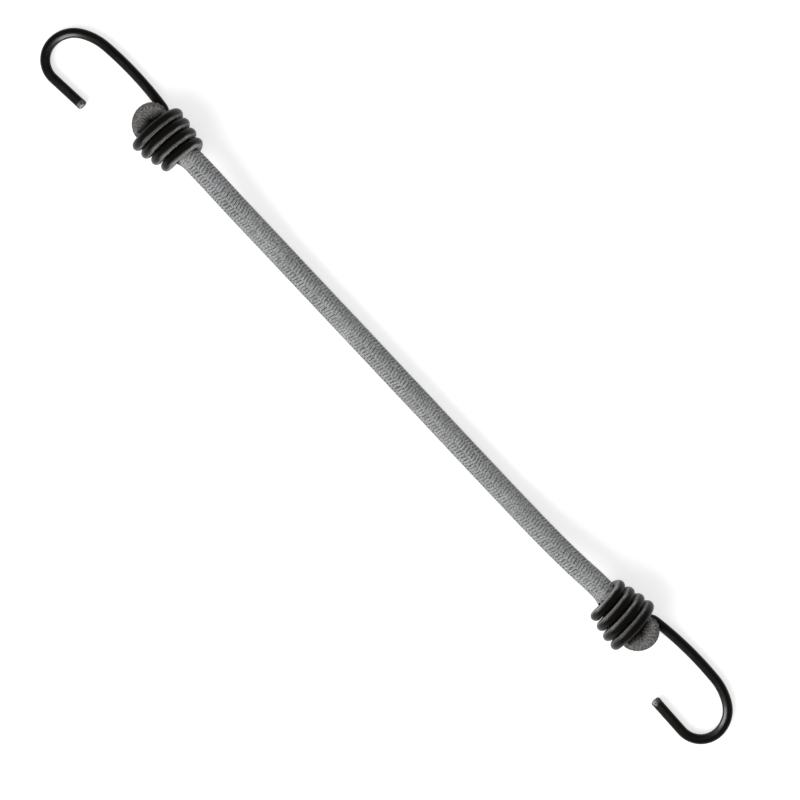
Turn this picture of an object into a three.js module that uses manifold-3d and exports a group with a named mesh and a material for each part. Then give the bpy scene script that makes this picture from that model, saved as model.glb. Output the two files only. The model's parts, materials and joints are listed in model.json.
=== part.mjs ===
// A bungee cord: a braided rubber cord with an open hook of coated steel wire at each end.
// Millimetres. It lies on a table at z = 0, with the cord along X, hook A at -X and hook B at +X.
import * as THREE from 'three';
import { mergeVertices } from 'three/addons/utils/BufferGeometryUtils.js';
import Module from 'manifold-3d';

const wasm = await Module();
wasm.setup();

// The cord: a braided sheath round a bundle of rubber strands in hexagonal rings
const CORD_DIAMETER = 8.2;
const SHEATH_WALL = 0.8;
const STRAND_RINGS = 2;
const STRAND_GAP = 0.25;
const CORE_CLEARANCE = 0.25;

// The cord's middle line from hook A to hook B: it leaves each coil at the height of the coil's
// axis, comes down to the table and bows a little to one side.
const CORD_ROUTE = [
  [-100.6, 1.05, 9.9], [-96.8, 1.05, 9.85], [-91, 1.0, 9.3], [-84, 0.85, 8.1], [-74, 0.75, 6.5],
  [-62, 0.7, 5.1], [-48, 0.6, 4.35], [-32, 0.5, 4.2], [-16, 0.4, 4.2], [0, 0.25, 4.2],
  [16, 0.15, 4.2], [32, 0, 4.2], [48, -0.1, 4.35], [62, -0.15, 5.1], [74, -0.1, 6.5],
  [84, 0.15, 8.1], [91.2, 0.5, 9.3], [97.1, 0.95, 9.85], [101, 1.05, 9.9],
];
const CORD_OFF_CENTRE = 1.05;
const CORD_STEPS = 18;
const CORD_SIDES = 12;
const STRAND_SIDES = 6;

// The wire and its cone of turns, which grips the folded end of the cord
const WIRE_DIAMETER = 3.5;
const WIRE_SIDES = 12;
const TURN_GAP = 0.43;
const COIL_TURNS = 4;
const CONE_TURNS = 3;
const COIL_WIDE_RADIUS = 8.65;
const MOUTH_CLEARANCE = 0.3;
const STEPS_PER_TURN = 24;

// The open hook, in the order in which the wire is bent from the wide end of the coil to its tip.
// Every turn and yaw is in degrees.
const RUN_OUT = 2.9;
const ELBOW_RADIUS = 4.3;
const ELBOW_TURN = 77.4;
const SHANK_BOW_RADIUS = 130;
const SHANK_TURN = 12.5;
const EASE_RADIUS = 20.3;
const EASE_TURN = 27;
const CROWN_RADIUS = 10.4;
const CROWN_TURN = 59;
const HEEL_RADIUS = 8.75;
const HEEL_TURN = 92;
const TIP_LENGTH = 14.1;

// How the ends lie: the underside of each coil is cut flat, and the hook lies just over the table
const FLAT_DEPTH = 0.5;
const HOOK_LIFT = 0.1;
const RISE_LENGTH = 14;
const HOOK_A_YAW = 1.6;
const HOOK_B_YAW = 0;

// The folded end of the cord, squeezed between the turns
const FOLD_GAP = 0.3;
const FOLD_CLEARANCE = 0.3;
const FOLD_HALF_THICKNESS = 2.9;
const FOLD_HALF_WIDTH = 4.6;
const FOLD_CROWN = 0.2;
const FOLD_PROUD = 0.55;
const TAIL_HALF_THICKNESS = 1.9;
const TAIL_HALF_WIDTH = 3.9;
const TAIL_LENGTH = 9.3;
const LEG_STATIONS = 8;
const TAIL_STATIONS = 4;
const BEND_STATIONS = 9;

const CORD_RADIUS = CORD_DIAMETER / 2;
const WIRE_RADIUS = WIRE_DIAMETER / 2;
const COIL_SMALL_RADIUS = CORD_RADIUS + MOUTH_CLEARANCE + WIRE_RADIUS;
const COIL_PITCH = WIRE_DIAMETER + TURN_GAP;
const COIL_START = FOLD_GAP + WIRE_RADIUS;
const COIL_END = COIL_START + COIL_PITCH * COIL_TURNS;
const AXIS_HEIGHT = COIL_WIDE_RADIUS + WIRE_RADIUS - FLAT_DEPTH;

const black = new THREE.MeshStandardMaterial({ color: 0x161512, roughness: 0.45, metalness: 0.1 });
const grey = new THREE.MeshStandardMaterial({ color: 0x828483, roughness: 0.9, metalness: 0 });
const rubber = new THREE.MeshStandardMaterial({ color: 0xb59a74, roughness: 0.7, metalness: 0 });

const radians = THREE.MathUtils.degToRad;
const mix = THREE.MathUtils.lerp;
const ease = THREE.MathUtils.smoothstep;

function named(name, geometry, material) {
  const mesh = new THREE.Mesh(geometry, material);
  mesh.name = name;
  return mesh;
}

// A regular polygon with flat sides square to its own axes
function polygon(x, y, radius, sides) {
  const corners = [];
  for (let k = 0; k < sides; k += 1) {
    const angle = (Math.PI * (2 * k + 1)) / sides;
    corners.push(new THREE.Vector2(x + radius * Math.cos(angle), y + radius * Math.sin(angle)));
  }
  return corners;
}

function sweep(shape, path, steps) {
  return new THREE.ExtrudeGeometry(shape, { steps, extrudePath: path, bevelEnabled: false });
}

// Joins and cuts work on solids with shared corners
const WELD_DISTANCE = 1e-4;

function toSolid(geometry) {
  const bare = geometry.clone();
  bare.deleteAttribute('normal');
  bare.deleteAttribute('uv');
  const welded = mergeVertices(bare, WELD_DISTANCE);
  return new wasm.Manifold(new wasm.Mesh({
    numProp: 3,
    vertProperties: new Float32Array(welded.attributes.position.array),
    triVerts: new Uint32Array(welded.index.array),
  }));
}

function toGeometry(solid) {
  const { vertProperties, triVerts } = solid.getMesh();
  const geometry = new THREE.BufferGeometry();
  geometry.setAttribute('position', new THREE.BufferAttribute(vertProperties, 3));
  geometry.setIndex(new THREE.BufferAttribute(triVerts, 1));
  geometry.computeVertexNormals();
  return geometry;
}

// The cord between the hooks

const route = new THREE.CatmullRomCurve3(CORD_ROUTE.map((point) => new THREE.Vector3(...point)));

function cordSheath() {
  const section = new THREE.Shape(polygon(0, 0, CORD_RADIUS, CORD_SIDES));
  section.holes.push(new THREE.Path(polygon(0, 0, CORD_RADIUS - SHEATH_WALL, CORD_SIDES)));
  return named('cord_sheath', sweep(section, route, CORD_STEPS), grey);
}

function rubberStrands() {
  const bore = (CORD_RADIUS - SHEATH_WALL) * Math.cos(Math.PI / CORD_SIDES) - CORE_CLEARANCE;
  const spacing = (2 * bore + STRAND_GAP) / (2 * STRAND_RINGS + 1);
  const strands = [];
  for (let q = -STRAND_RINGS; q <= STRAND_RINGS; q += 1) {
    for (let r = -STRAND_RINGS; r <= STRAND_RINGS; r += 1) {
      if (Math.abs(q + r) > STRAND_RINGS) continue;
      const x = spacing * (q + r / 2);
      const y = spacing * r * Math.sin(Math.PI / 3);
      const section = new THREE.Shape(polygon(x, y, (spacing - STRAND_GAP) / 2, STRAND_SIDES));
      const number = String(strands.length + 1).padStart(2, '0');
      strands.push(named(`rubber_strand_${number}`, sweep(section, route, CORD_STEPS), rubber));
    }
  }
  return strands;
}

// One end, with x outwards from the cord's end, the coil's axis over y = 0 and the hook opening to -y

function coilPoints() {
  const points = [];
  const count = STEPS_PER_TURN * COIL_TURNS;
  for (let k = 0; k < count; k += 1) {
    const turn = k / STEPS_PER_TURN;
    const angle = 2 * Math.PI * turn - Math.PI / 2;
    const radius = mix(COIL_SMALL_RADIUS, COIL_WIDE_RADIUS, Math.min(turn / CONE_TURNS, 1));
    points.push(new THREE.Vector3(
      COIL_START + COIL_PITCH * turn,
      radius * Math.cos(angle),
      AXIS_HEIGHT + radius * Math.sin(angle),
    ));
  }
  return points;
}

// From under the coil's wide end the wire runs on in a chain of straights and arcs, each of which
// starts where the last one ended and in the same direction.
function hookPoints() {
  const pieceLength = COIL_WIDE_RADIUS * 2 * Math.PI / STEPS_PER_TURN;
  const place = new THREE.Vector2(COIL_END, 0);
  let heading = Math.atan2(2 * Math.PI * COIL_WIDE_RADIUS, COIL_PITCH);
  let travelled = 0;
  const points = [];
  const follow = (length, turn) => {
    const count = Math.max(2, Math.ceil(length / pieceLength));
    const step = length / count;
    for (let k = 0; k < count; k += 1) {
      const rise = (FLAT_DEPTH + HOOK_LIFT) * ease(travelled, 0, RISE_LENGTH);
      points.push(new THREE.Vector3(place.x, place.y, WIRE_RADIUS - FLAT_DEPTH + rise));
      const half = turn / count / 2;
      const chord = half === 0 ? step : step * Math.sin(half) / half;
      heading -= half;
      place.add(new THREE.Vector2(Math.cos(heading), Math.sin(heading)).multiplyScalar(chord));
      heading -= half;
      travelled += step;
    }
  };
  const arc = (radius, turn) => follow(radius * radians(turn), radians(turn));
  follow(RUN_OUT, 0);
  arc(ELBOW_RADIUS, ELBOW_TURN);
  arc(SHANK_BOW_RADIUS, SHANK_TURN);
  arc(EASE_RADIUS, EASE_TURN);
  arc(CROWN_RADIUS, CROWN_TURN);
  arc(HEEL_RADIUS, HEEL_TURN);
  follow(TIP_LENGTH, 0);
  points.push(new THREE.Vector3(place.x, place.y, WIRE_RADIUS + HOOK_LIFT));
  return points;
}

// The least gap between the wire and itself, on points along its middle line
const GAP_POINTS_PER_STEP = 4;

function leastGap(points) {
  const apart = Math.PI * WIRE_DIAMETER;
  let least = Infinity;
  for (let i = 0; i < points.length; i += 1) {
    let along = 0;
    for (let j = i + 1; j < points.length; j += 1) {
      along += points[j].distanceTo(points[j - 1]);
      if (along > apart) least = Math.min(least, points[i].distanceTo(points[j]));
    }
  }
  return least - WIRE_DIAMETER;
}

// The whole wire is one tube from the tip to the small end of the coil, cut flat at the table
function wireHook() {
  const middle = [...coilPoints(), ...hookPoints()].reverse();
  const path = new THREE.CatmullRomCurve3(middle, false, 'centripetal');
  path.arcLengthDivisions = middle.length * STEPS_PER_TURN;
  const meanRadius = (COIL_SMALL_RADIUS + COIL_WIDE_RADIUS) / 2;
  const steps = Math.round(path.getLength() / (2 * Math.PI * meanRadius / STEPS_PER_TURN));
  const gap = leastGap(path.getSpacedPoints(steps * GAP_POINTS_PER_STEP));
  console.log(`least gap between turns of the wire: ${gap.toFixed(3)} mm`);
  const wire = sweep(new THREE.Shape(polygon(0, 0, WIRE_RADIUS, WIRE_SIDES)), path, steps);
  const reach = path.getLength();
  const table = new THREE.BoxGeometry(reach, reach, WIRE_DIAMETER);
  table.translate(0, 0, -WIRE_RADIUS);
  return toGeometry(toSolid(wire).subtract(toSolid(table)));
}

// How far from the coil's axis the folded cord may reach at a place along it
function foldReach(x) {
  const small = COIL_SMALL_RADIUS - WIRE_RADIUS - FOLD_CLEARANCE;
  const wide = COIL_WIDE_RADIUS - WIRE_RADIUS - FOLD_CLEARANCE;
  const cone = (x - COIL_START) / (COIL_PITCH * CONE_TURNS);
  return mix(small, wide, THREE.MathUtils.clamp(cone, 0, 1));
}

// Stations along the folded end: in along the coil, round the bend and back as a short tail.
// Each has a place, a heading, and half its thickness and half its width.
function foldStations() {
  const stations = [];
  const bendX = COIL_END + FOLD_PROUD;
  const bendRadius = foldReach(bendX) - FOLD_HALF_THICKNESS;
  const coneEnd = COIL_START + COIL_PITCH * CONE_TURNS;
  const thickness = (x) => mix(CORD_RADIUS, FOLD_HALF_THICKNESS, ease(x, COIL_START, coneEnd));
  const leg = (x) => foldReach(x) - thickness(x);
  const slope = (side, x) => Math.atan2(side(x + FOLD_GAP) - side(x), FOLD_GAP);
  for (let k = 0; k < LEG_STATIONS; k += 1) {
    const x = mix(FOLD_GAP, bendX, k / LEG_STATIONS);
    const half = mix(CORD_RADIUS, FOLD_HALF_WIDTH, x / bendX);
    stations.push({ x, y: leg(x), heading: slope(leg, x), thick: thickness(x), wide: half });
  }
  for (let k = 0; k <= BEND_STATIONS; k += 1) {
    const round = Math.PI * (k / BEND_STATIONS);
    stations.push({
      x: bendX + bendRadius * Math.sin(round),
      y: bendRadius * Math.cos(round),
      heading: -round,
      thick: FOLD_HALF_THICKNESS + FOLD_CROWN * Math.sin(round),
      wide: FOLD_HALF_WIDTH,
    });
  }
  const tailThickness = (x) => mix(FOLD_HALF_THICKNESS, TAIL_HALF_THICKNESS, (bendX - x) / TAIL_LENGTH);
  const tail = (x) => tailThickness(x) - foldReach(x);
  for (let k = 1; k <= TAIL_STATIONS; k += 1) {
    const share = k / TAIL_STATIONS;
    const x = bendX - TAIL_LENGTH * share;
    const half = mix(FOLD_HALF_WIDTH, TAIL_HALF_WIDTH, share);
    const heading = slope(tail, x) - Math.PI;
    stations.push({ x, y: tail(x), heading, thick: tailThickness(x), wide: half });
  }
  return stations;
}

// An oval ring round each station, drawn in by the inset
function ovalRings(stations, inset) {
  return stations.map(({ x, y, heading, thick, wide }) => polygon(0, 0, 1, CORD_SIDES).map((corner) => (
    new THREE.Vector3(
      x - Math.sin(heading) * (thick - inset) * corner.x,
      y + Math.cos(heading) * (thick - inset) * corner.x,
      AXIS_HEIGHT + (wide - inset) * corner.y,
    )
  )));
}

// A skin over a row of rings: closed by flat ends, or joined from the last ring to the first
function skin(rings, isLoop) {
  const geometry = new THREE.BufferGeometry().setFromPoints(rings.flat());
  const sides = rings[0].length;
  const index = [];
  const spans = isLoop ? rings.length : rings.length - 1;
  for (let i = 0; i < spans; i += 1) {
    const near = i * sides;
    const far = ((i + 1) % rings.length) * sides;
    for (let k = 0; k < sides; k += 1) {
      const next = (k + 1) % sides;
      index.push(near + k, near + next, far + next, near + k, far + next, far + k);
    }
  }
  const last = (rings.length - 1) * sides;
  for (let k = 1; k < sides - 1 && !isLoop; k += 1) {
    index.push(0, k + 1, k, last, last + k, last + k + 1);
  }
  geometry.setIndex(index);
  geometry.computeVertexNormals();
  return geometry;
}

function foldedSheath() {
  const stations = foldStations();
  return skin([...ovalRings(stations, 0), ...ovalRings(stations, SHEATH_WALL).reverse()], true);
}

function foldedCore() {
  return skin(ovalRings(foldStations(), SHEATH_WALL + CORE_CLEARANCE), false);
}

// Both ends are the same, and hook A is a mirror image of hook B
const hookGeometry = wireHook();
const foldedSheathGeometry = foldedSheath();
const foldedCoreGeometry = foldedCore();

function cordEnd(letter, [x, y], side, yaw) {
  const end = new THREE.Group();
  end.add(named(`wire_hook_${letter}`, hookGeometry, black));
  end.add(named(`folded_sheath_${letter}`, foldedSheathGeometry, grey));
  end.add(named(`folded_core_${letter}`, foldedCoreGeometry, rubber));
  end.position.set(x, y - CORD_OFF_CENTRE, 0);
  end.rotation.z = radians(yaw);
  end.scale.x = side;
  return end;
}

const ends = new THREE.Group();
ends.add(cordEnd('a', CORD_ROUTE[0], -1, HOOK_A_YAW));
ends.add(cordEnd('b', CORD_ROUTE[CORD_ROUTE.length - 1], 1, HOOK_B_YAW));

const bungeeCord = new THREE.Group();
bungeeCord.add(ends, cordSheath(), ...rubberStrands());

// The origin is under the middle of the box round the two ends
const middle = new THREE.Box3().setFromObject(ends, true).getCenter(new THREE.Vector3());
bungeeCord.position.set(-middle.x, -middle.y, 0);

export default bungeeCord;
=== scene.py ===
# %% [markdown]
# # A bungee cord with two wire hooks
#
# This lesson dresses the CAD model of a bungee cord: a braided elastic cord whose folded ends are gripped
# by cones of black coated wire, each of which runs on into an open hook. The CAD gives every piece its
# place, its size and the way it moves. Blender adds what the eye sees: yarns that really cross, round
# wire, and finishes that change over a surface. We start by loading the CAD as a fixed frame.

# %% Load the frame
import json
import math

import bmesh
import bpy
import numpy as np
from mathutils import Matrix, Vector


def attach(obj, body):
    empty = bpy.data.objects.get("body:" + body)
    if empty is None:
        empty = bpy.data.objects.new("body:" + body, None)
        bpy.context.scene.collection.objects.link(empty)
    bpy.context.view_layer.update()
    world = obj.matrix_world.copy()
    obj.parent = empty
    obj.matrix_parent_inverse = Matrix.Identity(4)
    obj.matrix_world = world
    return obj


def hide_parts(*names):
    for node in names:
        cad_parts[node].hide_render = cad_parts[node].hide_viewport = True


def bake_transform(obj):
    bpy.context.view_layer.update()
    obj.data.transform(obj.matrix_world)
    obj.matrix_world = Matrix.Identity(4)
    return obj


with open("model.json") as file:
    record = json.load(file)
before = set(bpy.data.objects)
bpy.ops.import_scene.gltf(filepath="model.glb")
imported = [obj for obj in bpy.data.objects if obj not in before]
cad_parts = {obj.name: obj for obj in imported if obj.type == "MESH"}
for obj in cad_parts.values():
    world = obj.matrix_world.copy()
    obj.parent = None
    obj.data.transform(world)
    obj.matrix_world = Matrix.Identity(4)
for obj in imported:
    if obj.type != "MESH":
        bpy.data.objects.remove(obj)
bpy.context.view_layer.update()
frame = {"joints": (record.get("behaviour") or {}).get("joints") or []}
MM = 0.001

# %% [markdown]
# ## Where the two ends are
#
# Each hook swivels on the axis of its own coil, so the frame's two swivel joints say where the coils are:
# a joint's point is the middle of the coil's mouth. We give each end its own small set of axes, with s
# outwards along the coil, p to the side and z up. One description of a hook then serves both ends, and
# because p points the same way at both, hook A comes out as the mirror image of hook B.

# %% Axes of the two ends
UP = np.array([0.0, 0.0, 1.0])


def end_axes(joint):
    """The middle of a coil's mouth, the point of the table below it, and the directions of s and p."""
    mouth = np.array(joint["pos_m"], float)
    facing = math.copysign(1, mouth[0])
    outward = np.array(joint["axis"], float)
    outward *= math.copysign(1, outward[0]) * facing
    aside = np.array([-outward[1], outward[0], 0]) * facing
    return {"mouth": mouth, "foot": mouth * (1, 1, 0), "outward": outward, "aside": aside}


swivels = {joint["name"]: joint for joint in frame["joints"] if joint["type"] == "hinge"}
ends = {letter: end_axes(swivels["swivel_" + letter]) for letter in "ab"}
AXIS_HEIGHT = ends["a"]["mouth"][2]


def place(end, points):
    """Points (s, p, z) of one end in the frame of the whole object."""
    points = np.asarray(points, float)
    s, p, z = points[..., :1], points[..., 1:2], points[..., 2:]
    return end["foot"] + s * end["outward"] + p * end["aside"] + z * UP


def measure(end, points):
    """The reverse: s, p and z of points of the whole object."""
    offset = points - end["foot"]
    return np.stack([offset @ end["outward"], offset @ end["aside"], points[..., 2]], axis=-1)


for letter, end in ends.items():
    mouth, outward = np.round(end["mouth"] / MM, 2), np.round(end["outward"], 3)
    print("coil", letter, "has its mouth at", mouth, "mm and faces", outward)

# %% [markdown]
# ## The camera
#
# The photograph looks straight down, with the cord lying corner to corner. A camera with no rotation in
# Blender already looks down, so only a turn about Z is left to set. The coils' turns lean a little
# towards the ends of the picture, which is perspective from less than a metre away, and the lens follows
# from that distance and from the width that the frame spans at the height of the coils' axes.

# %% Camera
VIEW_DISTANCE = 780 * MM
FRAME_SPAN = 272 * MM
VIEW_TURN = math.radians(46.35)
VIEW_CENTRE = (6.7 * MM, -1.5 * MM)

scene = bpy.context.scene
lens = bpy.data.cameras.new("camera")
lens.lens = lens.sensor_width * VIEW_DISTANCE / FRAME_SPAN
camera = bpy.data.objects.new("camera", lens)
camera.location = (*VIEW_CENTRE, AXIS_HEIGHT + VIEW_DISTANCE)
camera.rotation_euler = (0, 0, VIEW_TURN)
scene.collection.objects.link(camera)
scene.camera = camera
scene.view_settings.view_transform = "Standard"
print("camera: %.1f mm lens" % lens.lens)

# %% [markdown]
# ## Smooth lines
#
# A cord and a wire both follow a line, so we need lines that are smooth and evenly stepped. A smooth curve
# through chosen points needs a direction at each of them: numpy's gradient gives one, and a cubic piece
# joins each pair. The curve is worked out more finely than needed and then measured off in even steps.

# %% Line helpers
FINER = 4


def lengths_along(line):
    """How far along a line each of its points lies."""
    return np.append(0, np.cumsum(np.linalg.norm(np.diff(line, axis=0), axis=1)))


def even(line, step):
    """The same line with points a step apart."""
    along = lengths_along(line)
    wanted = np.linspace(0, along[-1], max(2, round(along[-1] / step) + 1))
    return np.stack([np.interp(wanted, along, column) for column in line.T], axis=-1)


def smooth_line(points, step):
    """An evenly stepped curve through the points."""
    points = np.asarray(points, float)
    along = lengths_along(points)
    slopes = np.gradient(points, along, axis=0)
    fine = np.linspace(0, along[-1], int(along[-1] / step) * FINER)
    span = np.clip(np.searchsorted(along, fine, "right") - 1, 0, len(points) - 2)
    width = (along[span + 1] - along[span])[:, None]
    t = (fine - along[span])[:, None] / width
    curve = (2 * t**3 - 3 * t**2 + 1) * points[span] + (t**3 - 2 * t**2 + t) * width * slopes[span]
    curve += (3 * t**2 - 2 * t**3) * points[span + 1] + (t**3 - t**2) * width * slopes[span + 1]
    return even(curve, step)


def ease(share):
    """A share from 0 to 1 that starts and stops gently."""
    return share**2 * (3 - 2 * share)


print("half way, the gentle share is", ease(0.5))

# %% [markdown]
# ## The cord's middle line
#
# The cord comes out of each coil at the height of the coil's axis, sinks to the table and lies there with
# a slight bow to one side. Its points were chosen in the CAD, and we repeat them, in millimetres.
# The line runs on for a few millimetres inside both coils, so that no gap shows there.

# %% Route of the cord
CORD_ROUTE = [
    (-100.6, 1.05, 9.9), (-96.8, 1.05, 9.85), (-91, 1.0, 9.3), (-84, 0.85, 8.1), (-74, 0.75, 6.5),
    (-62, 0.7, 5.1), (-48, 0.6, 4.35), (-32, 0.5, 4.2), (-16, 0.4, 4.2), (0, 0.25, 4.2),
    (16, 0.15, 4.2), (32, 0, 4.2), (48, -0.1, 4.35), (62, -0.15, 5.1), (74, -0.1, 6.5),
    (84, 0.15, 8.1), (91.2, 0.5, 9.3), (97.1, 0.95, 9.85), (101, 1.05, 9.9),
]
INSIDE_COIL = [(1.2, 1.0), (2.3, 0.8), (3.4, 0.5)]
CORD_OFF_CENTRE = 1.05 * MM
CORD_RADIUS = 4.1 * MM
LINE_STEP = 0.25 * MM


def inside(letter):
    """Points of the line inside one coil, from its mouth inwards."""
    return [place(ends[letter], (s * MM, p * MM, AXIS_HEIGHT)) for s, p in INSIDE_COIL]


route = np.array(CORD_ROUTE) * MM
route += ends["a"]["mouth"] + (0, CORD_OFF_CENTRE, 0) - route[0]
cord_line = smooth_line([*inside("a")[::-1], *route, *inside("b")], LINE_STEP)

# %% [markdown]
# ## The coil's inside
#
# The wire is wound into a cone: its radius grows evenly over the first three turns and stays for the last
# one. Because the radius depends only on the place along the axis, the space inside is the same whichever
# way the hook has swivelled. What the coil grips must stay inside that space, so we write it down before
# making the cord. The limit is a soft one: a corner that is near it is drawn in a little, and one that is
# beyond it is drawn in to it, so a squeezed surface shows no crease.

# %% Room in the coil
WIRE_RADIUS = 1.75 * MM
COIL_PITCH = 3.93 * MM
COIL_START = 2.05 * MM
COIL_TURNS = 4
CONE_TURNS = 3
COIL_SMALL_RADIUS = 6.15 * MM
COIL_WIDE_RADIUS = 8.65 * MM
COIL_END = COIL_START + COIL_PITCH * COIL_TURNS
GRIP_CLEARANCE = 0.12 * MM
GRIP_SOFTNESS = 0.12 * MM
GRIP_CORE = CORD_RADIUS / 2
FAR_BEYOND = 30


def coil_radius(s):
    share = np.clip((s - COIL_START) / (COIL_PITCH * CONE_TURNS), 0, 1)
    return COIL_SMALL_RADIUS + (COIL_WIDE_RADIUS - COIL_SMALL_RADIUS) * share


def room(s):
    """How far from the coil's axis a gripped piece may reach, round the flanks of the end turns too."""
    outside = np.maximum(COIL_START - s, s - COIL_END) / WIRE_RADIUS
    flank = WIRE_RADIUS * np.sqrt(1 - np.clip(outside, 0, 1) ** 2)
    return coil_radius(s) - flank - GRIP_CLEARANCE


def gripped(corners, cover=0.0):
    """Corners drawn in to the room that each coil leaves, less a cover over them, with a soft limit."""
    for end in ends.values():
        local = measure(end, corners)
        offset = local[:, 1:] - (0, AXIS_HEIGHT)
        reach = np.linalg.norm(offset, axis=1)
        limit = room(local[:, 0]) - cover
        excess = np.clip((reach - limit) / GRIP_SOFTNESS, -FAR_BEYOND, FAR_BEYOND)
        drawn = reach - GRIP_SOFTNESS * np.log1p(np.exp(excess))
        drawn = np.where(excess > FAR_BEYOND - 1, limit, drawn)
        near = local[:, 0] > COIL_START - WIRE_RADIUS
        scale = np.where(near & (reach > GRIP_CORE), drawn / np.maximum(reach, GRIP_CORE), 1)
        local[:, 1:] = offset * scale[:, None] + (0, AXIS_HEIGHT)
        corners = np.where(near[:, None], place(end, local), corners)
    return corners


print("room in the mouth: %.2f mm, at the wide end: %.2f mm" % (room(COIL_START) / MM, room(COIL_END) / MM))

# %% [markdown]
# ## Meshes from arrays
#
# Every piece here is swept: a small section is carried along a line. We work the corners out with numpy
# and hand them to Blender in one go, which is far quicker than adding them one by one. A sweep is a block
# of corners, rows along the line and columns around the section, and its faces follow from the counts.

# %% Sweep helpers
def sweep_faces(rows, columns, first=0, joined=False):
    """Faces between the rows of a sweep, whose two ends are capped or joined to each other."""
    k = np.arange(columns)
    following = np.roll(k, -1)
    ring = np.stack([k, following, following + columns, k + columns], axis=-1)
    faces = (ring + first + columns * np.arange(rows - 1)[:, None, None]).reshape(-1, 4).tolist()
    last = first + columns * (rows - 1)
    if joined:
        faces += np.stack([last + k, last + following, first + following, first + k], axis=-1).tolist()
    else:
        faces += [(first + k[::-1]).tolist(), (last + k).tolist()]
    return faces


def make_piece(name, corners, faces, *materials):
    """An object with a smooth mesh whose faces all look outwards."""
    mesh = bpy.data.meshes.new(name)
    mesh.from_pydata(np.asarray(corners).reshape(-1, 3), [], faces)
    work = bmesh.new()
    work.from_mesh(mesh)
    bmesh.ops.recalc_face_normals(work, faces=work.faces)
    work.to_mesh(mesh)
    work.free()
    mesh.shade_smooth()
    for material in materials:
        mesh.materials.append(material)
    piece = bpy.data.objects.new(name, mesh)
    scene.collection.objects.link(piece)
    return piece


def unit(vectors):
    return vectors / np.linalg.norm(vectors, axis=-1, keepdims=True)


def level_axes(line):
    """At each point of a line, one direction to its side in the level and one upwards, square to it."""
    ahead = unit(np.gradient(line, axis=0))
    side = unit(np.cross(UP, ahead))
    return side, np.cross(ahead, side)


print("a sweep of 3 rows and 4 columns has", len(sweep_faces(3, 4)), "faces")

# %% [markdown]
# ## A node group that several finishes share
#
# No real surface is even. A *grain* group turns a point into a value between two limits, and one of a
# given size can drive colour, roughness or a bump. Building it once as a node group keeps the materials
# short, and each material sets its own scale and limits on the group's sockets. Noise seldom leaves the
# middle of its range, so the group spreads that middle part over the limits.

# %% Grain group
GRAIN_INPUTS = {
    "Point": "NodeSocketVector", "Scale": "NodeSocketFloat", "Detail": "NodeSocketFloat",
    "Low": "NodeSocketFloat", "High": "NodeSocketFloat",
}
NOISE_RANGE = (0.3, 0.7)


def grain_group():
    group = bpy.data.node_groups.new("grain", "ShaderNodeTree")
    for label, kind in GRAIN_INPUTS.items():
        group.interface.new_socket(label, in_out="INPUT", socket_type=kind)
    group.interface.new_socket("Value", in_out="OUTPUT", socket_type="NodeSocketFloat")
    start = group.nodes.new("NodeGroupInput").outputs
    noise = group.nodes.new("ShaderNodeTexNoise")
    spread = group.nodes.new("ShaderNodeMapRange")
    stop = group.nodes.new("NodeGroupOutput").inputs
    spread.inputs["From Min"].default_value, spread.inputs["From Max"].default_value = NOISE_RANGE
    group.links.new(start["Point"], noise.inputs["Vector"])
    group.links.new(start["Scale"], noise.inputs["Scale"])
    group.links.new(start["Detail"], noise.inputs["Detail"])
    group.links.new(noise.outputs["Fac"], spread.inputs["Value"])
    group.links.new(start["Low"], spread.inputs["To Min"])
    group.links.new(start["High"], spread.inputs["To Max"])
    group.links.new(spread.outputs["Result"], stop["Value"])
    return group


GRAIN = grain_group()
print("groups:", [group.name for group in bpy.data.node_groups])

# %% [markdown]
# ## A shorthand for finishes
#
# A material in Blender is a tree of nodes, and each node and link takes a line to add. A small class keeps
# the tree of one material and offers short ways to add what we need: grain, ramps, arithmetic, mixes of
# two colours and a bump. What is the same all over a surface is set on the shader's own socket, and only
# what changes over the surface is linked to it. The Mix node has sockets for several kinds of data, and
# those for colours are found by their numbers.

# %% Finish class
COLOUR_A, COLOUR_B, COLOUR_RESULT = 6, 7, 2


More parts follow.
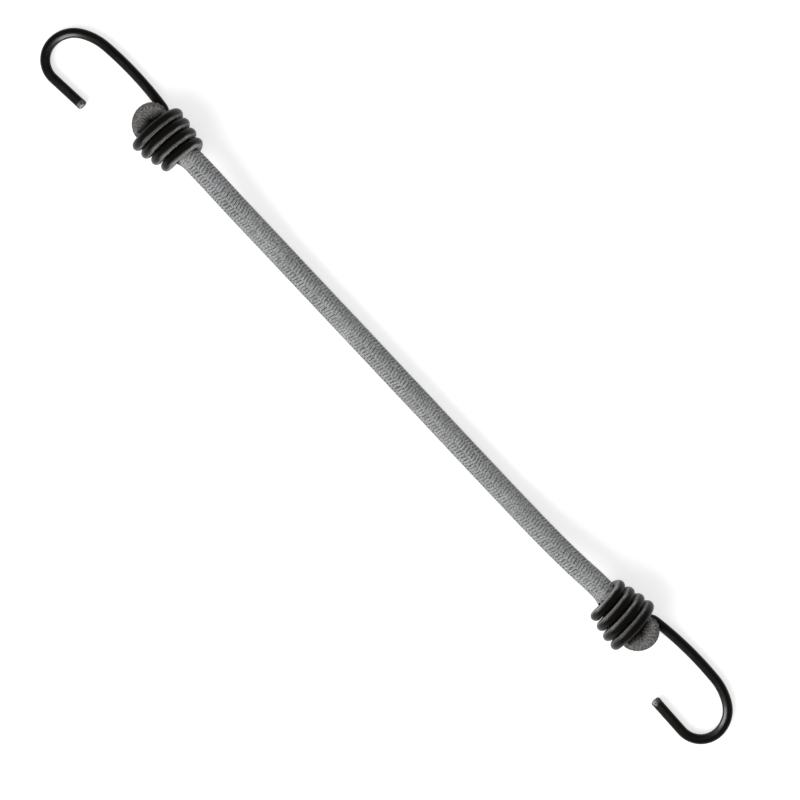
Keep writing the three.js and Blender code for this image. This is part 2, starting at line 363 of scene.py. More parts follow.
class Finish:
    """A material under construction. In the names of sockets, _ stands for a space."""

    def __init__(self, name, **sources):
        self.material = bpy.data.materials.new(name)
        self.material.use_nodes = True
        self.tree = self.material.node_tree
        self.shader = self.tree.nodes["Principled BSDF"]
        self.drive(**sources)

    def set(self, socket, source):
        """Links a socket to another one, or gives it a value."""
        if isinstance(source, bpy.types.NodeSocket):
            self.tree.links.new(source, socket)
        else:
            socket.default_value = source

    def feed(self, node, sources):
        for socket, source in sources.items():
            self.set(node.inputs[socket.replace("_", " ")], source)
        return node

    def drive(self, **sources):
        self.feed(self.shader, sources)

    def add(self, kind, settings=None, **sources):
        node = self.tree.nodes.new(kind)
        for setting, value in (settings or {}).items():
            setattr(node, setting, value)
        return self.feed(node, sources)

    def point(self):
        return self.add("ShaderNodeTexCoord").outputs["Object"]

    def split(self, vector):
        return self.add("ShaderNodeSeparateXYZ", Vector=vector).outputs

    def grain(self, point, scale, low=0.0, high=1.0, detail=3.0):
        sockets = {"Point": point, "Scale": scale, "Detail": detail, "Low": low, "High": high}
        return self.add("ShaderNodeGroup", {"node_tree": GRAIN}, **sockets).outputs["Value"]

    def ramp(self, value, first, last, low=0.0, high=1.0):
        """Goes evenly from low to high while the value goes from first to last."""
        sockets = {"Value": value, "From_Min": first, "From_Max": last, "To_Min": low, "To_Max": high}
        return self.add("ShaderNodeMapRange", **sockets).outputs["Result"]

    def math(self, operation, first, second=0.0):
        node = self.add("ShaderNodeMath", {"operation": operation})
        self.set(node.inputs[0], first)
        self.set(node.inputs[1], second)
        return node.outputs[0]

    def product(self, first, *others):
        for other in others:
            first = self.math("MULTIPLY", first, other)
        return first

    def mix(self, share, first, second, blend="MIX"):
        node = self.add("ShaderNodeMix", {"data_type": "RGBA", "blend_type": blend}, Factor=share)
        self.set(node.inputs[COLOUR_A], first)
        self.set(node.inputs[COLOUR_B], second)
        return node.outputs[COLOUR_RESULT]

    def bump(self, height, strength, distance):
        node = self.add("ShaderNodeBump", Height=height, Strength=strength, Distance=distance)
        self.drive(Normal=node.outputs["Normal"])


def grey(level, warmth=0.0):
    """A grey as the shader wants it, from the value that a picture shows (0 to 255), by the sRGB curve."""
    share = level / 255
    linear = share / 12.92 if share <= 0.04045 else ((share + 0.055) / 1.055) ** 2.4
    return (linear * (1 + warmth), linear, linear * (1 - warmth), 1)


print("a middle grey of 128 is %.3f to the shader" % grey(128)[1])

# %% [markdown]
# ## The yarn's finish
#
# The sheath is braided from a cool grey textured yarn. Seen close, each yarn is a bundle of fine
# filaments with some lighter and some darker, and no two yarns are quite the same tone. When the yarns
# are made below, every corner of their mesh gets a *fibre* attribute: how far along the yarn it lies, how
# far across it, and a number for that yarn. The finish stretches noise along those, so the filaments
# follow each yarn wherever it goes.
#
# Four shades are laid over that. The flanks of a yarn are painted darker than its back, as painted shade
# in the hollows between yarns, and faint stains drift over the whole cord. At the folded ends the yarn is
# also painted darker low down, as painted shade towards the bottom of the knob, and darkest inside the
# coil, as painted shade where the wire closes over it.

# %% Yarn finish
FILAMENT_SCALE = (2.4, 2.8, 60.0)
TONE_SPREAD = 0.12
# the flanks of each yarn, painted darker than its back as painted shade
YARN_FLANK = (0.27, 0.5)
BACK_SHADE = 1.04
# heights below which the folded ends are painted darker downwards, as painted shade
PAINTED_SHADE_HEIGHTS = (10.2 * MM, 13.2 * MM)
# inside the coil the folded ends are painted dark, as painted shade under the wire
COIL_SHADE_DEPTHS = (116.8 * MM, 118.2 * MM)


def yarn_finish(name, dark, light, warmth, flank_painted_shade, low_painted_shade, coil_painted_shade):
    finish = Finish(name, Specular_IOR_Level=0.0, Sheen_Weight=0.1, Sheen_Roughness=0.45)
    fibre = finish.add("ShaderNodeAttribute", {"attribute_name": "fibre"}).outputs["Vector"]
    lie = finish.split(fibre)
    strand = finish.add("ShaderNodeMapping", Vector=fibre, Scale=FILAMENT_SCALE).outputs["Vector"]
    filament = finish.grain(strand, scale=1.0)
    chance = finish.add("ShaderNodeTexWhiteNoise", {"noise_dimensions": "1D"}, W=lie["Z"])
    tone = finish.ramp(chance.outputs["Value"], 0.0, 1.0, low=-TONE_SPREAD / 2, high=TONE_SPREAD / 2)
    colour = finish.mix(finish.math("ADD", filament, tone), grey(dark, warmth), grey(light, warmth))
    spot = finish.split(finish.point())
    # real stains, with painted shade on the yarns' flanks, low on the folded ends and inside the coil
    shade = finish.product(
        finish.ramp(finish.math("ABSOLUTE", lie["Y"]), *YARN_FLANK, low=BACK_SHADE, high=flank_painted_shade),
        finish.grain(finish.point(), scale=120.0, low=0.9, high=1.05),
        finish.ramp(spot["Z"], *PAINTED_SHADE_HEIGHTS, low=low_painted_shade),
        finish.ramp(finish.math("ABSOLUTE", spot["X"]), *COIL_SHADE_DEPTHS, low=coil_painted_shade),
    )
    finish.drive(
        Base_Color=finish.mix(1.0, colour, shade, "MULTIPLY"),
        Roughness=finish.grain(strand, scale=2.0, low=0.8, high=0.98),
    )
    finish.bump(filament, strength=0.5, distance=0.08 * MM)
    return finish.material


CORD_YARN = yarn_finish(
    "cord_yarn", dark=84, light=206, warmth=-0.012, flank_painted_shade=0.25, low_painted_shade=1.0, coil_painted_shade=1.0,
)
# The folded ends take a darker, warmer copy of the cord's yarn.
FOLD_YARN = yarn_finish(
    "fold_yarn", dark=68, light=150, warmth=0.03, flank_painted_shade=0.6, low_painted_shade=0.4, coil_painted_shade=0.08,
)
print("yarn finishes:", CORD_YARN.name, FOLD_YARN.name)

# %% [markdown]
# Under the yarns lies a lining painted dark, as painted shade. On the real cord one sees the shaded yarns of
# the layer below through the small openings of the braid, and a plain dark speckle stands in for that shade.

# %% Lining finish
# the dark speckle of the lining is painted shade
LINING_SHADE_DARK, LINING_SHADE_LIGHT = grey(20), grey(44)


def lining_shade_finish():
    finish = Finish("sheath_lining", Roughness=0.95, Specular_IOR_Level=0.0)
    speckle = finish.grain(finish.point(), scale=900.0)
    finish.drive(Base_Color=finish.mix(speckle, LINING_SHADE_DARK, LINING_SHADE_LIGHT))
    return finish.material


LINING_SHADE = lining_shade_finish()
print("lining finish:", LINING_SHADE.name)

# %% [markdown]
# ## The braid
#
# A braid could be a bump texture on a plain tube, but its outline would stay smooth and the yarns would
# have no thickness. Real yarns are not hard to make. Four flat ones run round the cord one way and four
# the other. Each passes over one yarn and under the next, and the floats of one family come to lie side by
# side in straight columns along the cord: that is why it shows rows that slant one way in one column and
# the other way in the next. The height of a yarn then depends only on its angle round the cord, as a soft
# square wave, and the other family has the opposite height.
#
# The same functions make the straight sheath and the folded ends. They ask for a *sleeve*: a line, two
# directions square to it, and how far the section reaches along each of them.

# %% Sleeves
def make_sleeve(line, half_side, half_up, axes=None):
    side, up = level_axes(line) if axes is None else axes
    return {
        "along": lengths_along(line),
        "line": line,
        "side": side,
        "up": up,
        "half_side": np.broadcast_to(half_side, len(line)),
        "half_up": np.broadcast_to(half_up, len(line)),
    }


def on_sleeve(sleeve, along, angle, lift):
    """Points on a sleeve, lifted off it, and the outward direction there."""
    def at(key):
        values = sleeve[key]
        if values.ndim == 1:
            return np.interp(along, sleeve["along"], values)[..., None]
        return np.stack([np.interp(along, sleeve["along"], column) for column in values.T], axis=-1)

    cosine, sine = np.cos(angle)[..., None], np.sin(angle)[..., None]
    side, up, half_side, half_up = at("side"), at("up"), at("half_side"), at("half_up")
    outward = unit(side * cosine / half_side + up * sine / half_up)
    points = at("line") + side * half_side * cosine + up * half_up * sine
    return points + outward * lift[..., None], outward


cord_sleeve = make_sleeve(cord_line, CORD_RADIUS, CORD_RADIUS)
print("the cord's sleeve has", len(cord_line), "stations")

# %% [markdown]
# On a slack cord the sheath is pushed together, so the yarns run almost straight round it. No braid lies
# quite evenly, though: the rows are bunched in some places, and each yarn wanders a little from its place.
# Sums of two sine waves whose lengths don't fit each other give both, and hardly repeat within the cord.

# %% Path of a yarn
YARNS_EACH_WAY = 4
BRAID_LEAD = 4.57 * MM
COLUMN_ANGLE = math.radians(78.5)
FLOAT_SHARPNESS = 2.2
YARN_WANDER = math.radians(6.0)
WANDER_WAVES = [(1.9 * MM, 2.4), (0.83 * MM, 5.1)]
BUNCH_WAVES = [(0.3 * MM, 6.5 * MM, 0.0), (0.12 * MM, 2.7 * MM, 1.0)]


def float_wave(angle):
    """+1 where the yarns that turn with the angle lie on top, and -1 where they lie under."""
    column = YARNS_EACH_WAY * (angle - COLUMN_ANGLE) / math.pi
    return np.tanh(FLOAT_SHARPNESS * np.cos(math.pi * column)) / math.tanh(FLOAT_SHARPNESS)


def wander(along, number):
    """A drift between -1 and 1 along a yarn, different for each number."""
    waves = [np.sin(along / length + phase * number) for length, phase in WANDER_WAVES]
    return sum(waves) / len(waves)


def bunched(along):
    """Lengths along the cord, with the rows of the braid closer in some places than in others."""
    return along + sum(depth * np.sin(along / length + phase) for depth, length, phase in BUNCH_WAVES)


def yarn_angle(along, way, yarn, number):
    """The angle of a yarn round the cord, for one of the two ways and its place among the yarns that way."""
    turns = way * bunched(along) / BRAID_LEAD + yarn / YARNS_EACH_WAY
    return COLUMN_ANGLE + 2 * math.pi * turns + YARN_WANDER * wander(along, number)


print("braid: a row every %.2f mm" % (BRAID_LEAD / YARNS_EACH_WAY / MM))

# %% [markdown]
# A yarn is a sweep of a flat six-sided section along its path. The section is given in shares of the yarn's
# width and thickness, so yarns of different widths can share it. Each corner also gets the three numbers of
# the *fibre* attribute that the finish reads.

# %% One yarn
YARN_THICKNESS = 0.46 * MM
YARN_RISE = 0.17 * MM
YARN_DEPTH = YARN_RISE + YARN_THICKNESS / 2
YARN_SECTION = np.array([(-0.5, 0), (-0.29, 0.5), (0.29, 0.5), (0.5, 0), (0.29, -0.5), (-0.29, -0.5)])
STEPS_PER_LEAD = 36


def yarn_block(sleeve, way, yarn, width):
    """One yarn of a sleeve as a sweep: its corners, and their fibre attribute."""
    length = sleeve["along"][-1]
    along = np.linspace(0, length, round(length / BRAID_LEAD * STEPS_PER_LEAD))
    number = yarn + YARNS_EACH_WAY * (way > 0)
    angle = yarn_angle(along, way, yarn, number)
    middle, outward = on_sleeve(sleeve, along, angle, way * YARN_RISE * float_wave(angle) - YARN_DEPTH)
    ahead = unit(np.gradient(middle, axis=0))
    across = unit(np.cross(outward, ahead))
    back = np.cross(ahead, across)
    wide, thick = YARN_SECTION[:, 0, None] * width, YARN_SECTION[:, 1, None] * YARN_THICKNESS
    corners = middle[:, None] + across[:, None] * wide + back[:, None] * thick
    run = lengths_along(middle)[:, None] / width
    fibre = np.stack(np.broadcast_arrays(run, YARN_SECTION[:, 0], number + 0.5), axis=-1)
    return corners, fibre


print("yarn: its middle lies %.2f mm under the sleeve on average" % (YARN_DEPTH / MM))

# %% [markdown]
# The lining is a thin wall under all the yarns. It is a sweep too: it runs along the outside of the wall and
# back along the inside, and its last row is joined to its first.

# %% Lining
LINING_SIDES = 24
LINING_STEP = 0.8 * MM
LINING_WALL = 0.3 * MM
LINING_DEPTH = YARN_DEPTH + YARN_RISE
SHEATH_DEPTH = LINING_DEPTH + LINING_WALL


def lining_block(sleeve):
    """The wall under the yarns as a sweep: along its outside and back along its inside."""
    length = sleeve["along"][-1]
    along = np.linspace(0, length, round(length / LINING_STEP))
    angle = 2 * math.pi * np.arange(LINING_SIDES) / LINING_SIDES
    along, angle = np.broadcast_arrays(along[:, None], angle)
    outer, _ = on_sleeve(sleeve, along, angle, np.full(along.shape, -LINING_DEPTH))
    inner, _ = on_sleeve(sleeve, along, angle, np.full(along.shape, -SHEATH_DEPTH))
    return np.concatenate([outer, inner[::-1]])


print("sheath: %.2f mm thick with its lining" % (SHEATH_DEPTH / MM))

# %% [markdown]
# The yarns and their lining make one piece with two materials. Whatever reaches into a coil is drawn in to
# the room there. Blender keeps the fibre attribute and the number of each face's material in long lists, and
# *foreach_set* fills such a list in one call.

# %% Braided pieces
def braided_piece(name, sleeve, yarn_material, yarn_width, bend_block=None):
    """All the yarns of a sleeve, the lining under them and, at a fold, the inner side of its bend."""
    yarns = [yarn_block(sleeve, way, yarn, yarn_width) for way in (1, -1) for yarn in range(YARNS_EACH_WAY)]
    corners, faces = np.zeros((0, 3)), []
    for block, _ in yarns:
        faces += sweep_faces(*block.shape[:2], len(corners))
        corners = np.concatenate([corners, block.reshape(-1, 3)])
    slots = [0] * len(faces)
    wall = lining_block(sleeve)
    faces += sweep_faces(*wall.shape[:2], len(corners), joined=True)
    corners = gripped(np.concatenate([corners, wall.reshape(-1, 3)]))
    if bend_block is not None:
        faces += sweep_faces(*bend_block.shape[:2], len(corners))
        corners = np.concatenate([corners, bend_block.reshape(-1, 3)])
    # the lining and the pleats take the lining's dark finish, which is painted shade
    piece = make_piece(name, corners, faces, yarn_material, LINING_SHADE)
    lie = np.concatenate([fibre.reshape(-1, 3) for _, fibre in yarns])
    fibre = np.zeros((len(corners), 3), np.float32)
    fibre[:len(lie)] = lie
    piece.data.attributes.new("fibre", "FLOAT_VECTOR", "POINT").data.foreach_set("vector", fibre.ravel())
    slots += [1] * (len(faces) - len(slots))
    piece.data.polygons.foreach_set("material_index", slots)
    print(name, "has", len(faces), "faces")
    return piece


print("each braided piece has", 2 * YARNS_EACH_WAY, "yarns")

# %% [markdown]
# ## The straight sheath
#
# The sheath between the hooks is one braided tube along the cord's line, and it takes the place of the
# CAD's sheath.

# %% Braided sheath
YARN_WIDTH = 1.24 * MM

sheath = braided_piece("braided_sheath", cord_sleeve, CORD_YARN, YARN_WIDTH)
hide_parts("cord_sheath")
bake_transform(sheath)

# %% [markdown]
# ## The rubber strands
#
# Inside the sheath lie the rubber strands that do the stretching. Nobody sees them while the cord is
# whole, but a cord that is cut open in a later scene shows them, so they are round here, packed in two
# rings round a middle one, and have the dull tan of latex that has been dusted with talc.

# %% Latex finish
LATEX_TAN = (0.46, 0.34, 0.2, 1)
LATEX_TALC = (0.66, 0.58, 0.46, 1)
LATEX_GLOW = (0.8 * MM, 0.5 * MM, 0.3 * MM)


def latex_finish():
    finish = Finish("dusted_latex", Subsurface_Weight=0.1, Subsurface_Radius=LATEX_GLOW)
    talc = finish.grain(finish.point(), scale=700.0, high=0.6)
    finish.drive(
        Base_Color=finish.mix(talc, LATEX_TAN, LATEX_TALC),
        Roughness=finish.grain(finish.point(), scale=400.0, low=0.55, high=0.85),
    )
    return finish.material


LATEX = latex_finish()
print("strand finish:", LATEX.name)

# %% [markdown]
# Each strand keeps its place in the section all along the cord, so a strand is a sweep along the same
# sleeve as the braid. The places form a six-sided pattern, counted along two directions 60 degrees apart.

# %% Strand helpers
STRAND_SPACING = 1.16 * MM
STRAND_RADIUS = 0.46 * MM
STRAND_RINGS = 2
STRAND_SIDES = 10
STRAND_STEP = 3.0 * MM


def strand_places():
    """Places of the strands in the section, in the order in which the CAD numbers them."""
    span = range(-STRAND_RINGS, STRAND_RINGS + 1)
    pairs = [(q, r) for q in span for r in span if abs(q + r) <= STRAND_RINGS]
    return [(STRAND_SPACING * (q + r / 2), STRAND_SPACING * r * math.sin(math.pi / 3)) for q, r in pairs]


def strand_tube(sleeve, x, y, squeeze=1.0):
    """One strand along a sleeve whose section may be squeezed flat."""
    rows = round(sleeve["along"][-1] / STRAND_STEP) + 1
    pick = np.linspace(0, len(sleeve["line"]) - 1, rows).round().astype(int)
    angle = 2 * math.pi * np.arange(STRAND_SIDES) / STRAND_SIDES
    sideways = (x + STRAND_RADIUS * np.cos(angle))[:, None]
    upwards = (y + STRAND_RADIUS * np.sin(angle))[:, None]
    wide = (sleeve["half_side"][pick] * squeeze / CORD_RADIUS)[:, None, None]
    tall = (sleeve["half_up"][pick] * squeeze / CORD_RADIUS)[:, None, None]
    block = sleeve["line"][pick][:, None] + sleeve["side"][pick][:, None] * sideways * wide
    return block + sleeve["up"][pick][:, None] * upwards * tall


print("places for", len(strand_places()), "strands")

# %% [markdown]
# Each strand becomes a piece of its own in place of the CAD's strand with the same number.

# %% Rubber strands
for number, (x, y) in enumerate(strand_places(), 1):
    block = strand_tube(cord_sleeve, x, y)
    strand = make_piece("strand_%02d" % number, block, sweep_faces(len(block), STRAND_SIDES), LATEX)
    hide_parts("rubber_strand_%02d" % number)
    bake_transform(strand)

# %% [markdown]

# %% [markdown]
# ## The folded ends
#
# Each end of the cord is folded back on itself and pulled into the cone until it jams. What stands out of
# the wide end is the bight of the fold, a braided knob with a dark notch where the two legs part. A fold
# is easier to shape by its two edges than by its middle: we draw the outer and the inner edge from above,
# and the line, the direction and the thickness follow from them. The outer edge keeps to the room in the
# coil, and the knob sits a little to one side. The inner edge makes the notch: two flanks that meet at a
# point. Inside the coil the two legs are pressed past the middle, so no light comes between them.

# %% Edges of the fold
FOLD_START = 3.4 * MM
FOLD_HALF_HEIGHT = 4.7 * MM
FOLD_PROUD = 0.55 * MM
KNOB_LENGTH = 7.35 * MM
KNOB_OFFSET = 0.6 * MM
NOTCH_TIP = 19.85 * MM
NOTCH_HALF_WIDTH = 5.4 * MM
NOTCH_DEPTH = 1.8 * MM
NOTCH_ROUNDING = 0.06
NOTCH_CURVE = 0.7
LEG_END = 14.6 * MM
LEG_PRESS = 0.2 * MM
LEG_FILL = 0.9
TAIL_END = 4.6 * MM
LEG_STATIONS = 8
BEND_STATIONS = 24


def leg_stations(first, last):
    """Stations of one leg inside the coil: s, the room there, where the legs meet, half the height."""
    s = np.linspace(first, last, LEG_STATIONS)
    share = ease(np.clip((s - FOLD_START) / (LEG_END - FOLD_START), 0, 1))
    meet = (room(s) - 2 * CORD_RADIUS) * (1 - share) - LEG_PRESS * share
    swell = np.sin(math.pi * share)
    filled, folded = LEG_FILL * room(s) - CORD_RADIUS, FOLD_HALF_HEIGHT - CORD_RADIUS
    height = CORD_RADIUS + filled * swell + folded * share * (1 - swell)
    return zip(s, room(s), meet, height)


def fold_edges():
    """Outer and inner edge of the fold from above, (s, p) at matching stations, and half its height."""
    stations = [(s, out, s, meet, high) for s, out, meet, high in leg_stations(FOLD_START, LEG_END)]
    bend = COIL_END + FOLD_PROUD
    for turn in np.linspace(0, math.pi, BEND_STATIONS):
        cosine, sine = math.cos(turn), math.sin(turn)
        lean = math.hypot(cosine, NOTCH_ROUNDING) ** NOTCH_CURVE - NOTCH_ROUNDING**NOTCH_CURVE
        aside = KNOB_OFFSET * sine
        outer = (bend + KNOB_LENGTH * sine, room(bend) * cosine + aside)
        inner = (NOTCH_TIP - NOTCH_DEPTH * lean, NOTCH_HALF_WIDTH * cosine + aside)
        stations.append((*outer, *inner, FOLD_HALF_HEIGHT))
    for s, out, meet, high in leg_stations(LEG_END, TAIL_END):
        stations.append((s, -out, s, meet + 2 * LEG_PRESS, high))
    return np.array(stations)


print("the knob stands %.1f mm out of the coil" % ((FOLD_PROUD + KNOB_LENGTH - WIRE_RADIUS) / MM))

# %% [markdown]
# The edges give the sleeve of the fold. On the inner side of the bend there is too much sheath for the
# room, and it gathers in pleats. Yarns that tight would only tangle, so a small pleated body closes the
# notch from below. It takes the dark lining's finish and fills the notch as painted shade.

# %% Sleeve of the fold
PLEAT_CENTRE = (16.4 * MM, 0, AXIS_HEIGHT - 0.6 * MM)
PLEAT_REACH = (4.4 * MM, 6.0 * MM, 2.4 * MM)
PLEAT_COUNT = 13
PLEAT_DEPTH = 0.06
PLEAT_STEPS = 4
PLEAT_ROWS = 13
PLEAT_TILT = 1.5


def fold_sleeve(end):
    stations = smooth_line(fold_edges(), LINE_STEP)
    outer, inner, height = stations[:, :2], stations[:, 2:4], stations[:, 4]
    level = np.full((len(stations), 1), AXIS_HEIGHT)
    line = place(end, np.hstack([(outer + inner) / 2, level]))
    side = unit(place(end, np.hstack([outer, level])) - place(end, np.hstack([inner, level])))
    half_side = np.linalg.norm(outer - inner, axis=1) / 2
    return make_sleeve(line, half_side, height, (side, np.broadcast_to(UP, line.shape)))


def pleats(end):
    """The inner side of the bend: a closed body with a rippled rim under the notch, dark as painted shade.
    """
    tilt = np.linspace(-PLEAT_TILT, PLEAT_TILT, PLEAT_ROWS)[:, None]
    turn = 2 * math.pi * np.arange(PLEAT_STEPS * PLEAT_COUNT) / (PLEAT_STEPS * PLEAT_COUNT)
    rim = np.cos(tilt) * (1 + PLEAT_DEPTH * np.cos(PLEAT_COUNT * turn))
    body = np.stack([rim * np.cos(turn), rim * np.sin(turn), np.sin(tilt) + 0 * turn], axis=-1)
    return place(end, body * PLEAT_REACH + PLEAT_CENTRE)


fold_sleeves = {letter: fold_sleeve(end) for letter, end in ends.items()}
print("cord in each fold: %.0f mm" % (fold_sleeves["a"]["along"][-1] / MM))

# %% [markdown]
# Each folded end is one braided piece, and its rubber another that is squeezed into it. End A belongs to
# the cord's own body, and end B to the body that moves away when the cord is stretched.

# %% Folded ends
FOLD_YARN_WIDTH = 1.45 * MM
FOLD_SQUEEZE = 0.85

for letter, body in (("a", "cord"), ("b", "cord_end_b")):
    sleeve = fold_sleeves[letter]
    folded = braided_piece("folded_end_" + letter, sleeve, FOLD_YARN, FOLD_YARN_WIDTH, pleats(ends[letter]))
    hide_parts("folded_sheath_" + letter)
    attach(folded, body)
    blocks = [strand_tube(sleeve, x, y, FOLD_SQUEEZE) for x, y in strand_places()]
    faces = []
    for number, block in enumerate(blocks):
        faces += sweep_faces(len(block), STRAND_SIDES, number * len(block) * STRAND_SIDES)
    corners = gripped(np.concatenate(blocks).reshape(-1, 3), SHEATH_DEPTH)
    core = make_piece("folded_strands_" + letter, corners, faces, LATEX)
    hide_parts("folded_core_" + letter)
    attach(core, body)

# %% [markdown]
# ## The wire hooks
#
# Each hook is one length of wire. From the small end of the coil it winds four turns, leaves from under
# the wide end, bends through an elbow into the shank, and ends in the open hook, whose crown is a chain of
# arcs of different radii. A chain of arcs is how a wire bender thinks, and it gives a line whose
# direction never jumps. Each arc has its radius in millimetres and its turn in degrees.

# %% Line of the wire
STEPS_PER_TURN = 72
RUN_OUT = 2.9 * MM
HOOK_ARCS = [(4.3, 77.4), (130, 12.5), (20.3, 27), (10.4, 59), (8.75, 92)]
TIP_LENGTH = 14.1 * MM
FLAT_DEPTH = 0.5 * MM
HOOK_LIFT = 0.1 * MM
RISE_LENGTH = 14 * MM
WIRE_STEP = 0.6 * MM


def coil_points():
    turn = np.arange(STEPS_PER_TURN * COIL_TURNS) / STEPS_PER_TURN
    s = COIL_START + COIL_PITCH * turn
    angle = 2 * math.pi * turn - math.pi / 2
    radius = coil_radius(s)
    return np.column_stack([s, radius * np.cos(angle), AXIS_HEIGHT + radius * np.sin(angle)])


def hook_points():
    """From under the wide end of the coil along straights and arcs to the tip, in small chords."""
    pieces = [(RUN_OUT, 0.0)]
    pieces += [(radius * MM * math.radians(turn), math.radians(turn)) for radius, turn in HOOK_ARCS]
    pieces += [(TIP_LENGTH, 0.0)]
    heading = math.atan2(2 * math.pi * COIL_WIDE_RADIUS, COIL_PITCH)
    points = [np.array([COIL_END, 0.0])]
    for length, turn in pieces:
        count = max(2, math.ceil(length / WIRE_STEP))
        half = turn / count / 2
        chord = length / count * (math.sin(half) / half if half else 1)
        for _ in range(count):
            heading -= half
            points.append(points[-1] + chord * np.array([math.cos(heading), math.sin(heading)]))
            heading -= half
    points = np.array(points)
    risen = ease(np.clip(lengths_along(points) / RISE_LENGTH, 0, 1))
    height = WIRE_RADIUS - FLAT_DEPTH + (FLAT_DEPTH + HOOK_LIFT) * risen
    return np.column_stack([points, height])


wire_line = even(np.concatenate([coil_points(), hook_points()]), WIRE_STEP)
print("wire: %.0f mm in each hook" % (lengths_along(wire_line)[-1] / MM))

# %% [markdown]
# The coating is a thick satin black, a little uneven like most dipped finishes, so its roughness drifts
# and it has a faint orange-peel bump. The flanks of the coil that face the cord are painted light grey, as
# a painted highlight for the soft bands that light from the middle of the cord puts there. A mask finds
# those flanks from the direction in which the surface looks, measured on the hook itself, so the painted
# highlight turns with the hook.

# %% Coating finish
COATING_DARK, COATING_LIGHT = grey(4, 0.3), grey(8, 0.3)
# the light grey of the painted highlight on the coil
PAINTED_HIGHLIGHT_GREY = grey(160, 0.02)
HIGHLIGHT_FACING = (0.72, 0.94)
COIL_FAR_SIDE = ends["b"]["mouth"][0] + COIL_END
HIGHLIGHT_FADE = 1.0 * MM


def coil_highlight_mask(finish):
    """A mask of the coil's flanks that face the cord, where a highlight is painted in."""
    facing = finish.split(finish.add("ShaderNodeTexCoord").outputs["Normal"])["X"]
    spot = finish.split(finish.point())["X"]
    inwards = finish.product(finish.math("SIGN", spot), -1.0, facing)
    outward = finish.math("ABSOLUTE", spot)
    coil = finish.ramp(outward, COIL_FAR_SIDE - HIGHLIGHT_FADE, COIL_FAR_SIDE, low=1.0, high=0.0)
    return finish.product(finish.ramp(inwards, *HIGHLIGHT_FACING), coil)


def coating_finish():
    finish = Finish("black_coating", Specular_IOR_Level=0.14)
    point = finish.point()
    film = finish.mix(finish.grain(point, scale=160.0), COATING_DARK, COATING_LIGHT)
    gloss = finish.grain(point, scale=420.0, low=0.27, high=0.35)
    # painted highlight: light grey on the coil's flanks that face the cord, which are also rougher there
    highlight_mask = finish.product(coil_highlight_mask(finish), finish.grain(point, scale=700.0, low=0.6))
    finish.drive(Base_Color=finish.mix(highlight_mask, film, PAINTED_HIGHLIGHT_GREY), Roughness=finish.math("MAXIMUM", gloss, highlight_mask))
    finish.bump(finish.grain(point, scale=1500.0), strength=0.12, distance=0.05 * MM)
    return finish.material


COATING = coating_finish()
print("coating finish:", COATING.name)

# %% [markdown]
# Where the wire was cropped the steel shows, dull and lightly scored, with flakes of coating left on it.

# %% Cropped finish
STEEL_DARK, STEEL_LIGHT, FLAKE = grey(48), grey(104), grey(13)
SCORE_SCALE = (1.0, 0.2, 0.2)


def cropped_finish():
    finish = Finish("cropped_steel", Metallic=0.2, Specular_IOR_Level=0.2)
    point = finish.point()
    score = finish.add("ShaderNodeMapping", Vector=point, Scale=SCORE_SCALE).outputs["Vector"]
    lines = finish.grain(score, scale=4000.0)
    steel = finish.mix(lines, STEEL_DARK, STEEL_LIGHT)
    clean = finish.grain(point, scale=1300.0, low=-0.6, high=1.5, detail=1.0)
    finish.drive(
        Base_Color=finish.mix(clean, FLAKE, steel),
        Roughness=finish.grain(point, scale=2500.0, low=0.5, high=0.7),
    )
    finish.bump(lines, strength=0.2, distance=0.05 * MM)
    return finish.material


CROPPED = cropped_finish()
print("cut finish:", CROPPED.name)

# %% [markdown]
# The cut end of the wire swells slightly and has a chamfer, as cropped wire does. A few more rows near the
# tip make room for that shape, which is given as sizes at distances from the cut. Directions that turn with
# the line but never twist about it keep the sweep's columns straight.

# %% Rows of the wire
CHAMFER = 0.5 * MM
CHAMFER_SIZE = 0.68
CUT_ROWS = np.array([1.3, 0.65, 0.5, 0.2]) * MM
CUT_DISTANCES = np.array([0, 0.2, 0.5, 0.9, 1.8]) * MM
CUT_SIZES = [CHAMFER_SIZE, 0.9, 1.0, 1.05, 1.0]


def turning_axes(line):
    """Two directions square to a line that turn with it and never twist about it."""
    ahead = unit(np.gradient(line, axis=0))
    sides = [unit(np.cross(UP, ahead[0]))]
    for direction in ahead:
        sides.append(unit(sides[-1] - direction * (sides[-1] @ direction)))
    sides = np.array(sides[1:])
    return sides, np.cross(ahead, sides)


def wire_rows(line):
    """Rows of the sweep: their points, their radii and how far they are from the cut."""
    along = lengths_along(line)
    reach = along[-1]
    plain = along[along < reach - CUT_ROWS[0] - WIRE_STEP / 4]
    rows = np.concatenate([plain, reach - CUT_ROWS, [reach]])
    points = np.stack([np.interp(rows, along, column) for column in line.T], axis=-1)
    size = np.interp(reach - rows, CUT_DISTANCES, CUT_SIZES)
    start = np.interp(rows, [0, CHAMFER], [CHAMFER_SIZE, 1.0])
    return points, WIRE_RADIUS * size * start, reach - rows


print("wire: %.2f mm thick where the cut swells" % (2 * WIRE_RADIUS * max(CUT_SIZES) / MM))

# %% [markdown]
# The section of the wire is a true circle, pressed flat underneath where the coil rests on the table. The
# last rows and both caps are bare steel.

# %% Hooks
WIRE_SIDES = 28
BARE_LENGTH = 1.4 * MM

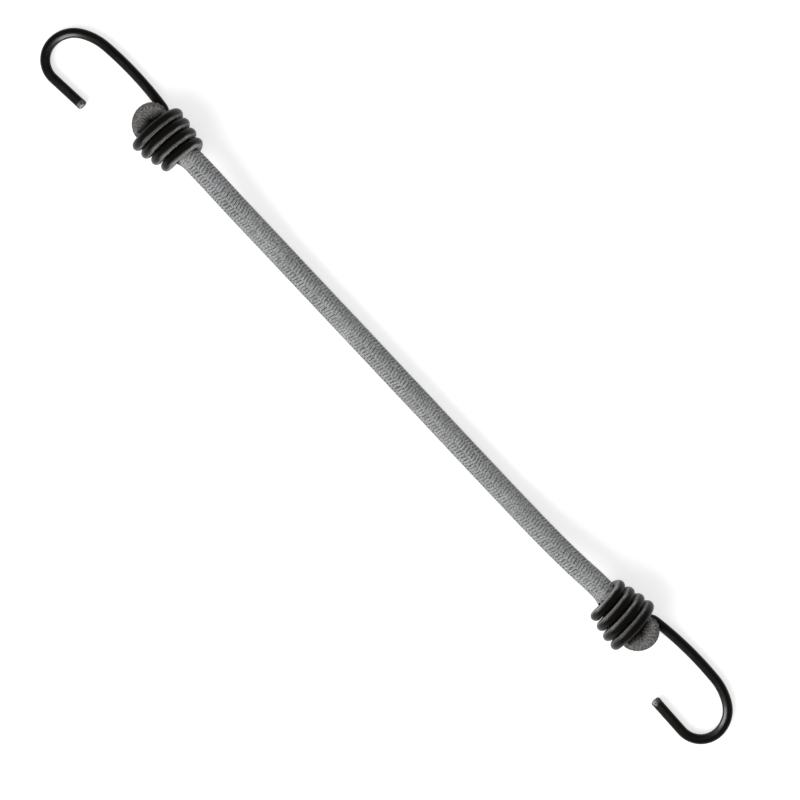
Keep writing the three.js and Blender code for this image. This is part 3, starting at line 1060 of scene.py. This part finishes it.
for letter, end in ends.items():
    line, radius, to_cut = wire_rows(place(end, wire_line))
    side, up = turning_axes(line)
    angle = 2 * math.pi * np.arange(WIRE_SIDES)[:, None] / WIRE_SIDES
    circle = side[:, None] * np.cos(angle) + up[:, None] * np.sin(angle)
    block = line[:, None] + circle * radius[:, None, None]
    block[..., 2] = np.maximum(block[..., 2], 0)
    hook = make_piece("hook_wire_" + letter, block, sweep_faces(len(line), WIRE_SIDES), COATING, CROPPED)
    bare = np.repeat(to_cut[1:] < BARE_LENGTH, WIRE_SIDES).tolist() + [True, True]
    hook.data.polygons.foreach_set("material_index", np.array(bare, np.int32))
    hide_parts("wire_hook_" + letter)
    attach(hook, "hook_" + letter)
    print(hook.name, "has", len(hook.data.polygons), "faces")

# %% [markdown]
# ## The table
#
# The object lies on a plain white table. White paint never renders quite white, so the table adds a little
# light of its own, but only for what the camera sees directly, in a reflection or through glass. It casts
# no light on the object, and the object's shadows stay in place.

# %% Table
TABLE_SIZE = 8.0
TABLE_GLOW = 0.6
TABLE_DARK, TABLE_LIGHT = (0.8, 0.8, 0.8, 1), (0.84, 0.84, 0.84, 1)


def table_finish():
    finish = Finish("white_table", Roughness=0.8, Specular_IOR_Level=0.0, Emission_Color=(1, 1, 1, 1))
    tooth = finish.grain(finish.point(), scale=60.0)
    path = finish.add("ShaderNodeLightPath").outputs
    seen = finish.math("ADD", path["Is Camera Ray"], path["Is Glossy Ray"])
    seen = finish.math("ADD", seen, path["Is Transmission Ray"])
    finish.drive(
        Base_Color=finish.mix(tooth, TABLE_DARK, TABLE_LIGHT),
        Emission_Strength=finish.product(seen, TABLE_GLOW),
    )
    return finish.material


half = TABLE_SIZE / 2
table = make_piece(
    "table", [(-half, -half, 0), (half, -half, 0), (half, half, 0), (-half, half, 0)], [(0, 1, 2, 3)],
    table_finish(),
)
print("table: %.0f m wide" % TABLE_SIZE)

# %% [markdown]
# ## The lamps
#
# A big soft lamp stands high on one side of the cord and a weaker one low on the other, and the world adds
# the even light of a white room. Where the lamps stand is in metres, and their energy in watts. Neither is
# seen in a reflection, because the wire has cards of its own to mirror.

# %% Lamps and world
LAMP_SIZE = (1.4, 0.9)
LAMPS = {"key": ((0.0, -1.1, 1.0), 16.5), "fill": ((0.0, 1.5, 0.25), 4.0)}
WORLD_STRENGTH = 0.36


def lamp(name, spot, aim, size, energy):
    light = bpy.data.lights.new(name, "AREA")
    light.shape = "RECTANGLE"
    light.size, light.size_y = size
    light.energy = energy
    thing = bpy.data.objects.new(name, light)
    thing.location = spot
    thing.rotation_euler = (Vector(aim) - Vector(spot)).to_track_quat("-Z", "Y").to_euler()
    thing.visible_camera = False
    scene.collection.objects.link(thing)
    return thing


for name, (spot, energy) in LAMPS.items():
    lamp(name, spot, (0, 0, 0), LAMP_SIZE, energy).visible_glossy = False

world = bpy.data.worlds.new("studio")
world.use_nodes = True
sky = world.node_tree.nodes["Background"].inputs
sky["Color"].default_value = (1, 1, 1, 1)
sky["Strength"].default_value = WORLD_STRENGTH
scene.world = world
print("lamps:", list(LAMPS), "in a world of strength", WORLD_STRENGTH)

# %% [markdown]
# Black wire is shaped by what it mirrors. Three white cards stand across the cord for each hook and face
# it: a *near* one just before the coil, a *low* wide one at the middle of the cord, and one past the coil
# for the inside of the *crown*. They put the soft bands on the sides of the wire that face the cord. A
# card is a lamp that shines one way and that only reflections can see, so it doesn't brighten the cord.
# Its sizes are in millimetres: how far out it stands, its two edges across the cord, and its heights.

# %% Cards
CARDS = {
    "near": {"out": 78, "first": 38, "last": -44, "bottom": 0, "top": 18, "radiance": 9.5},
    "low": {"out": 2, "first": 45, "last": -185, "bottom": 17, "top": 80, "radiance": 8},
    "crown": {"out": 124, "first": -10, "last": -64, "bottom": 0, "top": 110, "radiance": 26},
}


def card(name, facing, out, first, last, bottom, top, radiance):
    width, height = abs(last - first) * MM, (top - bottom) * MM
    middle = Vector((facing * out, (first + last) / 2, (bottom + top) / 2)) * MM
    energy = radiance * math.pi * width * height
    thing = lamp(name, middle, middle + Vector((facing, 0, 0)), (width, height), energy)
    thing.visible_diffuse = False


for letter, facing in (("a", -1), ("b", 1)):
    for name, sizes in CARDS.items():
        card("card_%s_%s" % (letter, name), facing, **sizes)
